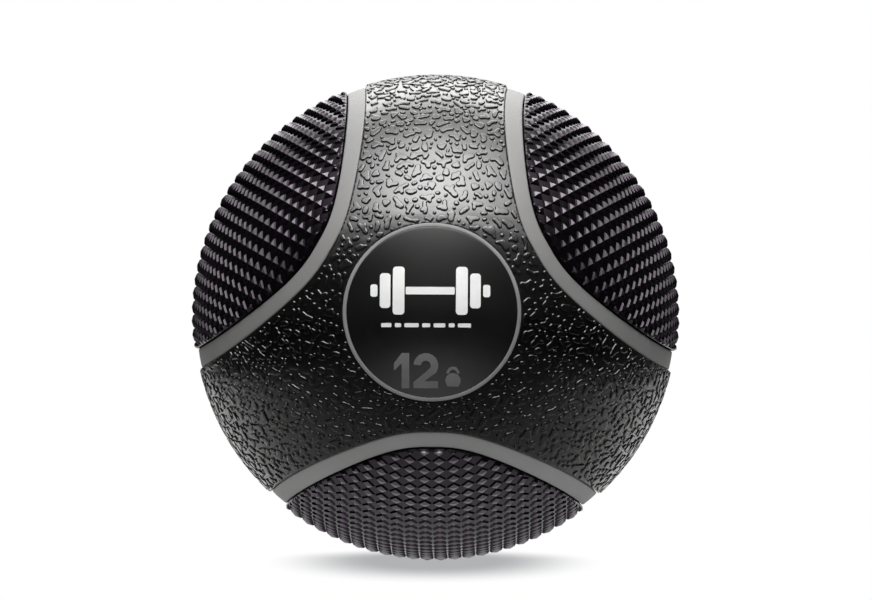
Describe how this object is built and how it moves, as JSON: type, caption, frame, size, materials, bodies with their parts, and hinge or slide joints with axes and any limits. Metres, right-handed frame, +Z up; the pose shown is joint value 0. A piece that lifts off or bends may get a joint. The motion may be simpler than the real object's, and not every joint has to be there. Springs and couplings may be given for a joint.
{
  "type": "medicine ball",
  "caption": "Weighted rubber exercise ball with studded grip panels framed by recessed grey bands, pebble-grain cover, round badges and a needle valve.",
  "frame": {"origin": "centre of the ball", "axes": "+Z up with the ball resting on the middle of its bottom grip panel; the badge axis is Y, the front badge faces -Y and the valve is at the +Y pole; +X is to the right seen from the front"},
  "size_m": [0.2318, 0.2301, 0.2308],
  "materials": {
    "pebble_rubber": "pebble-grained, satin black",
    "stud_rubber": "studded, satin black",
    "grey_rubber": "smooth matt grey",
    "ring_grey": "smooth light grey",
    "badge_rubber": "smooth, semi-gloss black",
    "carcass_rubber": "dense filled rubber, matt",
    "butyl": "smooth butyl",
    "valve_rubber": "satin black",
    "core_rubber": "soft tan gum rubber"
  },
  "bodies": {
    "root": {"front_cover": "pebble_rubber", "back_cover": "pebble_rubber", "grip_panel_bottom": "stud_rubber", "grip_panel_left": "stud_rubber", "grip_panel_right": "stud_rubber", "trim_band_bottom": "grey_rubber", "trim_band_left": "grey_rubber", "trim_band_right": "grey_rubber", "front_badge_ring": "ring_grey", "front_badge_disc": "badge_rubber", "back_badge_ring": "ring_grey", "back_badge_disc": "badge_rubber", "carcass_front_half": "carcass_rubber", "carcass_back_half": "carcass_rubber", "bladder": "butyl", "valve_housing": "valve_rubber", "valve_core": "core_rubber"}
  },
  "joints": []
}
